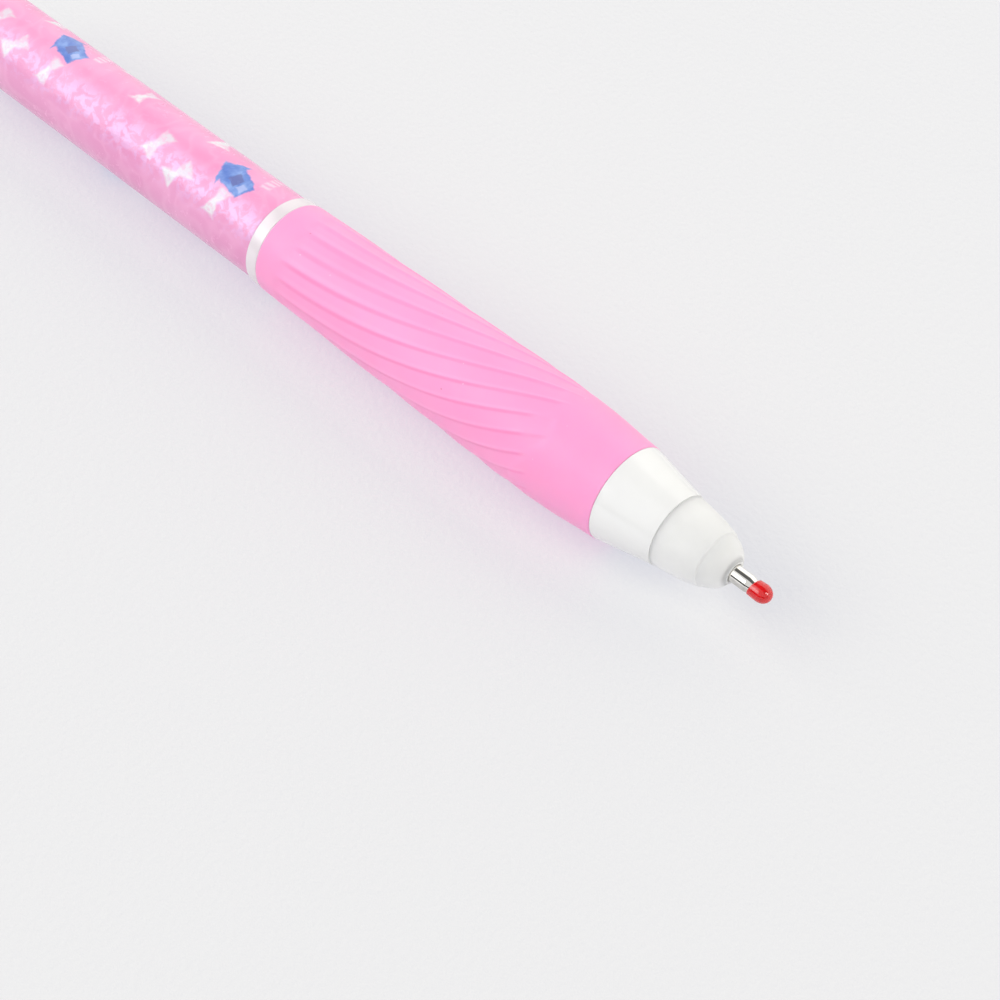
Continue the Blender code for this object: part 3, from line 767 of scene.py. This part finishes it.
def pearl_print():
    """Pink film with small generic pictures printed over it, and a pearly band along it whose
    glints are a painted highlight.
    """
    net = Net("pearl printed film", srgb(235, 160, 202), 0.2, IOR=1.5)
    station, turn = net.unrolled()
    round_mm = net.math("MULTIPLY", turn, math.radians(1.0) * BARREL_R)
    drift = net.remap(net.noise(11.0, 2.0), 0.3, 0.7)
    color = net.mix(drift, srgb(240, 155, 198), srgb(243, 163, 204))
    # painted shade: a slightly darker pink below the band, as in the photograph
    low = net.remap(turn, 8.0, 36.0)
    color = net.mix(low, color, net.mix(drift, srgb(229, 153, 195), srgb(233, 161, 201)))
    swirl = net.noise(10.0, 1.0, distortion=2.0)
    swirl = net.math("ABSOLUTE", net.math("SUBTRACT", swirl, 0.5))
    color = net.layer(net.remap(swirl, 0.12, 0.0), 0.15, color, srgb(255, 200, 230))
    # painted highlight: lilac glints painted into the colour in a band along one side, where the
    # light's reflection falls; the flakes are the film's own pearl
    flakes = net.remap(net.noise(1.3, 3.0, 0.6, 0.7), 0.45, 0.58, 0.05, 1.0)
    band = net.math("MULTIPLY", net.remap(turn, -22.0, 4.0), net.remap(turn, 44.0, 16.0))
    flakes_and_painted_glint = net.math("MULTIPLY", flakes, band)
    color = net.layer(flakes_and_painted_glint, 0.55, color, srgb(238, 192, 240))

    def ragged(value, wobble):
        """A coordinate shifted a little to and fro, which roughens the pictures' outlines."""
        return net.math("ADD", value, net.math("MULTIPLY_ADD", wobble, 0.9, -0.45))

    u = ragged(station, net.noise(1.2, 2.0))
    v = ragged(round_mm, net.noise(1.3, 2.0, vector=net.stretch(1.0, -1.0, 1.0)))
    bows = (
        (-82.2, -0.4, 111.0, 1.0), (-76.6, 1.3, 138.0, 1.0), (-68.9, 1.3, 104.0, 0.9),
        (-90.3, -5.2, 100.0, 0.8), (-76.4, -7.9, 75.0, 1.1), (-98.0, -9.6, 60.0, 0.8),
    )
    # the print repeats once: how far along and round it moves, and where its house lies
    for along, lift, place in ((0.0, 0.0, (-69.25, -2.9)), (-35.9, -0.97, (-105.65, -4.5))):
        color = house(net, u, v, *place, 111.0, color)
        for x, y, degrees, size in bows:
            color = bow(net, u, v, x + along, y + lift, degrees, color, size)
        color = strokes(net, u, v, -65.2 + along, -5.9 + lift, 76.0, color)
    # the sides that the photograph doesn't show
    for x, y, degrees in (
        (-72.0, 12.0, 40.0), (-88.0, 13.4, -35.0), (-103.0, 12.0, 70.0), (-66.0, 15.0, 10.0),
    ):
        color = bow(net, u, v, x, y, degrees, color)
    color = house(net, u, v, -95.0, 15.6, 30.0, color)
    color = house(net, u, v, -79.0, -15.0, -110.0, color)
    net.set("Base Color", color)
    wrinkle = net.noise(1.1, 2.0, 0.6, 0.6)
    net.set("Roughness", net.remap(wrinkle, 0.3, 0.7, 0.18, 0.28))
    net.set("Normal", net.bump(wrinkle, net.remap(band, 0.0, 1.0, 0.01, 1.0), 0.10))
    net.set("Specular IOR Level", net.remap(flakes_and_painted_glint, 0.0, 1.0, 0.25, 0.6))
    net.set("Specular Tint", (0.55, 0.80, 1.0, 1.0))
    net.set("Coat Weight", 0.12)
    net.set("Coat Roughness", 0.08)
    return net.material


def barrel():
    film = rounded([
        (BARREL_FRONT, BARREL_R, 0.12), (BARREL_END, BARREL_R, 0.1),
        (BARREL_END, FILM_BORE, 0.0), (BARREL_FRONT, FILM_BORE, 0.0),
    ])
    bm = lathe(refine(film, 2.0), 192)
    finish("print_film", bm, pearl_print(), "barrel", ["printed_sleeve"])
    front, bore = BARREL_FRONT - 0.05, 4.6
    tube = rounded([
        (front, TUBE_R, 0.1), (BARREL_END, TUBE_R, 0.1),
        (BARREL_END, bore, 0.0), (front, bore, 0.2),
    ])
    net = Net("pink barrel plastic", srgb(248, 182, 214), 0.15, IOR=1.49)
    net.set("Base Color", net.mottle(6.0, 3.0, srgb(244, 172, 208), srgb(252, 192, 222)))
    net.set("Roughness", net.remap(net.noise(1.5, 3.0), 0.3, 0.7, 0.10, 0.22))
    bm = lathe(tube, 96)
    finish("barrel_wall", bm, net.material, "barrel", ["barrel_tube"])


# ---- back end ---------------------------------------------------------------------------------

def block(x0, x1, r0, r1, half):
    """A block between two stations and two distances from the axis, at the clip's angle."""
    bm = bmesh.new()
    bmesh.ops.create_cube(bm, size=1.0)
    size = Matrix.Diagonal(((x1 - x0) * MM, (r1 - r0) * MM, 2 * half * MM, 1.0))
    middle = Matrix.Translation(((x0 + x1) / 2 * MM, (r0 + r1) / 2 * MM, 0.0))
    bmesh.ops.transform(bm, matrix=TO_CLIP @ middle @ size, verts=bm.verts)
    return bm


def rod(radius, half):
    """A rod through the clip's pivot, square to the pen's axis."""
    bm = bmesh.new()
    bmesh.ops.create_cone(
        bm, cap_ends=True, segments=48,
        radius1=radius * MM, radius2=radius * MM, depth=2 * half * MM,
    )
    middle = Matrix.Translation((CLIP_PIVOT.x * MM, CLIP_PIVOT.y * MM, 0.0))
    bmesh.ops.transform(bm, matrix=TO_CLIP @ middle, verts=bm.verts)
    return bm


def helper(bm):
    """A passing object that carries a mesh through its modifiers."""
    mesh = bpy.data.meshes.new("helper")
    bmesh.ops.recalc_face_normals(bm, faces=bm.faces)
    bm.to_mesh(mesh)
    bm.free()
    obj = bpy.data.objects.new("helper", mesh)
    bpy.context.scene.collection.objects.link(obj)
    return obj


def carve(bm, steps, bevel, bevel_angle=40.0):
    """Applies (operation, bmesh) steps to a mesh, then softens its edges. Returns a bmesh."""
    base = helper(bm)
    others = []
    for operation, tool in steps:
        other = helper(tool)
        others.append(other)
        boolean = base.modifiers.new(operation, "BOOLEAN")
        boolean.operation = operation
        boolean.object = other
        boolean.solver = "EXACT"
    soften = base.modifiers.new("soften", "BEVEL")
    soften.width = bevel * MM
    soften.segments = 3
    soften.limit_method = "ANGLE"
    soften.angle_limit = math.radians(bevel_angle)
    bpy.context.view_layer.update()
    depsgraph = bpy.context.evaluated_depsgraph_get()
    mesh = bpy.data.meshes.new_from_object(base.evaluated_get(depsgraph))
    result = bmesh.new()
    result.from_mesh(mesh)
    bmesh.ops.remove_doubles(result, verts=result.verts, dist=1e-7)
    bpy.data.meshes.remove(mesh)
    for obj in [base] + others:
        bpy.data.objects.remove(obj, do_unlink=True)
    return result


def collar():
    neck = -118.3
    front = BARREL_END - 0.03
    profile = rounded([
        (neck, 4.5, 0.2), (front, 4.5, 0.0), (front, COLLAR_R, 0.18),
        (COLLAR_END + 2.5, COLLAR_R - 0.05, 1.0), (COLLAR_END, 5.35, 0.9), (COLLAR_END, 3.8, 0.25),
        (neck, 3.8, 0.1),
    ], 6)
    bm = carve(
        lathe(profile, 128),
        [
            ("UNION", block(BARREL_END - 6.6, BARREL_END - 1.6, 5.0, 8.7, 2.3)),
            ("DIFFERENCE", block(BARREL_END - 8.6, BARREL_END + 1.0, COLLAR_R + 0.05, 10.0, 1.35)),
            ("DIFFERENCE", rod(0.55, 4.0)),
        ],
        bevel=0.14,
    )
    look = white_plastic("white collar plastic")
    finish("back_collar", bm, look, "barrel", ["end_collar"])


def pin():
    bm = carve(rod(0.5, 2.4), [], bevel=0.08)
    look = steel("pivot pin steel", (0.75, 0.74, 0.72), 0.16)
    finish("pivot_pin", bm, look, "barrel", ["clip_pin"])


def slab(outline, half):
    """An outline of (station, distance out) points thickened both ways, at the clip's angle."""
    bm = bmesh.new()
    sides = []
    for sign in (-1.0, 1.0):
        sides.append([bm.verts.new((x * MM, r * MM, sign * half * MM)) for x, r in outline])
    bm.faces.new(sides[0])
    bm.faces.new(list(reversed(sides[1])))
    count = len(outline)
    for i in range(count):
        j = (i + 1) % count
        bm.faces.new((sides[0][i], sides[0][j], sides[1][j], sides[1][i]))
    bmesh.ops.transform(bm, matrix=TO_CLIP, verts=bm.verts)
    return bm


def arc(x, r, radius, start, end, count):
    """Points on an arc about (x, r), between two angles in degrees."""
    angles = [math.radians(start + (end - start) * k / (count - 1)) for k in range(count)]
    return [(x + radius * math.cos(a), r + radius * math.sin(a)) for a in angles]


def clip():
    """A flat arm with a rounded toe, and a tongue between the collar's lugs."""
    arm = arc(CLIP_TOE, CLIP_UNDERSIDE, 1.6, 215, 320, 14)
    arm += arc(CLIP_TOE + 1.8, 8.4, 0.9, -30, 90, 10)
    arm += [
        (BARREL_END - 0.2, 9.3), (BARREL_END - 0.9, 9.0), (BARREL_END - 0.9, CLIP_UNDERSIDE),
        (CLIP_TOE - 3.1, CLIP_UNDERSIDE), (CLIP_TOE - 1.9, 7.75),
    ]
    tongue = arc(CLIP_PIVOT.x, CLIP_PIVOT.y, 1.3, 90, 270, 24)
    tongue += [(BARREL_END - 1.6, 6.6), (BARREL_END + 0.8, 8.2), (BARREL_END + 1.4, 9.1)]
    bm = carve(
        slab(arm, 1.9),
        [("UNION", slab(tongue, 1.2)), ("DIFFERENCE", rod(0.58, 4.0))],
        bevel=0.3, bevel_angle=50.0,
    )
    look = white_plastic("white clip plastic")
    finish("pocket_clip", bm, look, "clip", ["clip"])


def button():
    ceiling = BUTTON_END + 0.8
    profile = rounded([
        (ceiling, 0.0, 0.0), (ceiling, 2.3, 0.0), (BUTTON_START, 2.3, 0.1),
        (BUTTON_START, 3.6, 0.25), (BUTTON_END + 0.3, 3.55, 0.9), (BUTTON_END, 2.6, 0.5),
        (BUTTON_END, 0.0, 0.0),
    ], 8)
    bm = lathe(profile, 128, closed=False)
    look = white_plastic("white button plastic")
    finish("click_button", bm, look, "button", ["push_button"])


def carried_over():
    """CAD pieces of the click mechanism that stay as they are, with their own materials."""
    looks = {
        "cam_guide": natural("guide plastic"),
        "plunger": natural("plunger plastic"),
        "rotor_cam": clear("clear cam plastic"),
    }
    for name, look in looks.items():
        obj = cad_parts[name]
        obj.data.materials.clear()
        obj.data.materials.append(look)


grip()
cone()
nose_tip()
spacer()
nib()
ball()
seal()
refill()
spring()
barrel()
collar()
pin()
clip()
button()
carried_over()


# ---- floor, light and camera ------------------------------------------------------------------

def floor():
    """A wide pale floor, with a glow of its own that keeps the shadows on it light."""
    bm = bmesh.new()
    bmesh.ops.create_grid(bm, x_segments=1, y_segments=1, size=3.0)
    mesh = bpy.data.meshes.new("floor")
    bm.to_mesh(mesh)
    bm.free()
    net = Net("pale floor", (0.37, 0.36, 0.265), 0.6)
    net.set("Specular IOR Level", 0.3)
    net.set("Emission Color", (0.756, 0.778, 1.0, 1.0))
    net.set("Emission Strength", 0.543)
    net.set("Normal", net.bump(net.noise(0.9, 2.0), 0.6, 0.2))
    mesh.materials.append(net.material)
    obj = bpy.data.objects.new("floor", mesh)
    bpy.context.scene.collection.objects.link(obj)


class Sky(Net):
    """The world's shader: a soft white studio built from panels of light."""

    def __init__(self, name):
        self.material = bpy.data.worlds.new(name)
        self.material.use_nodes = True
        self.tree = self.material.node_tree
        self.background = self.tree.nodes["Background"]
        self.direction = self.node("ShaderNodeTexCoord").outputs["Generated"]
        parts = self.node("ShaderNodeSeparateXYZ", {0: self.direction}).outputs
        # degrees round the X axis: 0 at the +Y horizon, 90 overhead, 180 at the -Y horizon
        self.turn = self.math("DEGREES", self.math("ARCTAN2", parts[2], parts[1]))
        self.light = 0.0

    def band(self, start, end, soft, strength):
        """A strip of light along the whole pen, between two angles round it, with soft edges."""
        rise = self.remap(self.turn, start - soft, start + soft)
        fall = self.remap(self.turn, end - soft, end + soft, 1.0, 0.0)
        share = self.math("MULTIPLY", rise, fall)
        self.light = self.math("MULTIPLY_ADD", share, strength, self.light)

    def spot(self, towards, inner, outer, strength):
        """A round soft panel in one direction, of the given half angles."""
        aim = tuple(Vector(towards).normalized())
        values = {0: self.direction, 1: aim}
        dot = self.node("ShaderNodeVectorMath", values, operation="DOT_PRODUCT")
        low, high = math.cos(math.radians(outer)), math.cos(math.radians(inner))
        share = self.remap(dot.outputs["Value"], low, high)
        self.light = self.math("MULTIPLY_ADD", share, strength, self.light)

    def shine(self):
        """Gives the world its light, slightly warm on the +Y side, and puts it to use."""
        warm = self.remap(self.turn, 95.0, 60.0)
        color = self.mix(warm, (1.0, 1.0, 1.0), (1.0, 0.985, 0.94))
        self.tree.links.new(color, self.background.inputs["Color"])
        self.tree.links.new(self.light, self.background.inputs["Strength"])
        bpy.context.scene.world = self.material


def studio():
    """Three long panels, of which the one overhead is dim, and three round ones."""
    sky = Sky("studio")
    sky.band(-20.0, 57.0, 4.0, 1.35)
    sky.band(57.0, 99.0, 4.0, 0.13)
    sky.band(99.0, 166.0, 3.0, 0.78)
    sky.spot((-0.46, -0.67, 0.58), 8.0, 20.0, 3.1)
    sky.spot((-0.78, -0.28, 0.56), 14.0, 34.0, 2.2)
    sky.spot((0.81, 0.12, 0.575), 7.0, 12.0, 10.0)
    sky.shine()


def camera():
    """The photograph's viewpoint, as fitted to the pen's outline."""
    back = Vector((0.45877, -0.45836, 0.76120)).normalized()
    right = Vector((0.70680, 0.70741, 0.0)).normalized()
    up = back.cross(right)
    aside, above, distance = -14.879, -0.736, 266.30
    data = bpy.data.cameras.new("camera")
    data.sensor_width = 36.0
    data.lens = 81.52
    data.clip_start = 0.01
    obj = bpy.data.objects.new("camera", data)
    spot = AXIS + (right * aside + up * above + back * distance) * MM
    turn = Matrix((right, up, back)).transposed().to_4x4()
    obj.matrix_world = Matrix.Translation(spot) @ turn
    bpy.context.scene.collection.objects.link(obj)
    bpy.context.scene.camera = obj


floor()
studio()
camera()
bpy.context.scene.view_settings.view_transform = "Standard"
